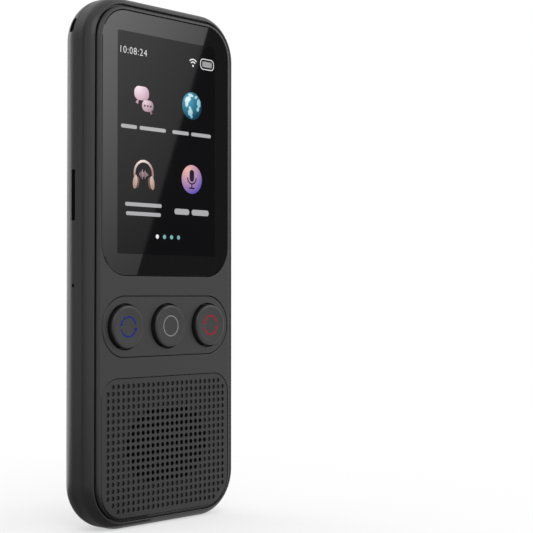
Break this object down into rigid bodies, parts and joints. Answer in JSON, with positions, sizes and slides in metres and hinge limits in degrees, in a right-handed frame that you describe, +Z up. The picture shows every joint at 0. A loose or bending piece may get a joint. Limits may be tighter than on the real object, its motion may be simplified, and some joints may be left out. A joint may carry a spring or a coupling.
{
  "type": "handheld translator",
  "caption": "Slim upright handheld translator with a glass screen, three round front buttons, drilled speaker panel, two side keys and its inner works.",
  "frame": {"origin": "on the bottom face, midway across and midway between the case's front and back", "axes": "+Z up along the long side, the screen faces -Y, +X is the right-hand flank with the keys as the user sees it"},
  "size_m": [0.0529, 0.0139, 0.132],
  "materials": {
    "case_plastic": "matt black with a fine texture",
    "grille_plastic": "matt black",
    "key_plastic": "satin black",
    "cap_plastic": "satin black",
    "cover_glass": "polished",
    "display_cell": "polished",
    "clear_plastic": "clear",
    "steel": "satin",
    "tape": "matt",
    "flat_cable": "satin",
    "black_mesh": "woven",
    "foam": "matt",
    "speaker_plastic": "matt",
    "plunger_plastic": "matt",
    "magnet_steel": "plated",
    "cone_film": "matt",
    "board_laminate": "satin",
    "chip_black": "matt",
    "battery_wrap": "matt foil",
    "wire_cover": "matt"
  },
  "bodies": {
    "case": {"antenna": "flat_cable", "antenna_lead": "wire_cover", "battery": "battery_wrap", "battery_lead": "wire_cover", "battery_tape": "tape", "board_chips": "chip_black", "board_connectors": "speaker_plastic", "board_screws": "steel", "button_panel": "case_plastic", "card_socket": "steel", "cover_glass": "cover_glass", "display_flex": "flat_cable", "display_frame": "steel", "display_panel": "display_cell", "dust_mesh": "black_mesh", "front_cover": "case_plastic", "glass_tape": "tape", "home_switch": "speaker_plastic", "light_guide": "clear_plastic", "main_board": "board_laminate", "mic_boot": "foam", "microphone": "steel", "power_switch": "speaker_plastic", "rear_cover": "case_plastic", "shield_cans": "steel", "speaker_frame": "speaker_plastic", "speaker_gasket": "foam", "speaker_grille": "grille_plastic", "speaker_leads": "wire_cover", "speaker_magnet": "magnet_steel", "speaker_screws": "steel", "talk_blue_switch": "speaker_plastic", "talk_red_switch": "speaker_plastic", "usb_board": "board_laminate", "usb_flex": "flat_cable", "usb_screws": "steel", "usb_shell": "steel", "usb_tongue": "speaker_plastic", "volume_down_plunger": "plunger_plastic", "volume_down_switch": "speaker_plastic", "volume_up_plunger": "plunger_plastic", "volume_up_switch": "speaker_plastic"},
    "talk_blue_cap": {"talk_blue_button": "cap_plastic"},
    "talk_blue_pin": {"talk_blue_plunger": "plunger_plastic"},
    "home_cap": {"home_button": "cap_plastic"},
    "home_pin": {"home_plunger": "plunger_plastic"},
    "talk_red_cap": {"talk_red_button": "cap_plastic"},
    "talk_red_pin": {"talk_red_plunger": "plunger_plastic"},
    "power_bar": {"power_key": "key_plastic"},
    "power_pin": {"power_plunger": "plunger_plastic"},
    "volume_bar": {"volume_key": "key_plastic"},
    "cone": {"speaker_cone": "cone_film"}
  },
  "joints": [
    {"name": "talk_blue_press", "type": "slide", "parent": "case", "child": "talk_blue_cap", "axis": [0, 1, 0], "range_m": [0, 0.0003], "stiffness_N_per_m": 500},
    {"name": "talk_blue_pin_press", "type": "slide", "parent": "case", "child": "talk_blue_pin", "axis": [0, 1, 0], "range_m": [0, 0.0003]},
    {"name": "home_press", "type": "slide", "parent": "case", "child": "home_cap", "axis": [0, 1, 0], "range_m": [0, 0.0003], "stiffness_N_per_m": 500},
    {"name": "home_pin_press", "type": "slide", "parent": "case", "child": "home_pin", "axis": [0, 1, 0], "range_m": [0, 0.0003]},
    {"name": "talk_red_press", "type": "slide", "parent": "case", "child": "talk_red_cap", "axis": [0, 1, 0], "range_m": [0, 0.0003], "stiffness_N_per_m": 500},
    {"name": "talk_red_pin_press", "type": "slide", "parent": "case", "child": "talk_red_pin", "axis": [0, 1, 0], "range_m": [0, 0.0003]},
    {"name": "power_press", "type": "slide", "parent": "case", "child": "power_bar", "axis": [-1, 0, 0], "range_m": [0, 0.00025], "stiffness_N_per_m": 500},
    {"name": "power_pin_press", "type": "slide", "parent": "case", "child": "power_pin", "axis": [-1, 0, 0], "range_m": [0, 0.00025]},
    {"name": "volume_rock", "type": "hinge", "parent": "case", "child": "volume_bar", "pos_m": [0.0235, 0.0002, 0.0874], "axis": [0, 1, 0], "range_deg": [-1.5, 1.5], "stiffness_Nm_per_rad": 0.3},
    {"name": "cone_stroke", "type": "slide", "parent": "case", "child": "cone", "axis": [0, 1, 0], "range_m": [-0.0003, 0.0003], "stiffness_N_per_m": 1500}
  ],
  "couplings": [
    {"joint": "talk_blue_pin_press", "follows": "talk_blue_press", "ratio": 1},
    {"joint": "home_pin_press", "follows": "home_press", "ratio": 1},
    {"joint": "talk_red_pin_press", "follows": "talk_red_press", "ratio": 1},
    {"joint": "power_pin_press", "follows": "power_press", "ratio": 1}
  ]
}
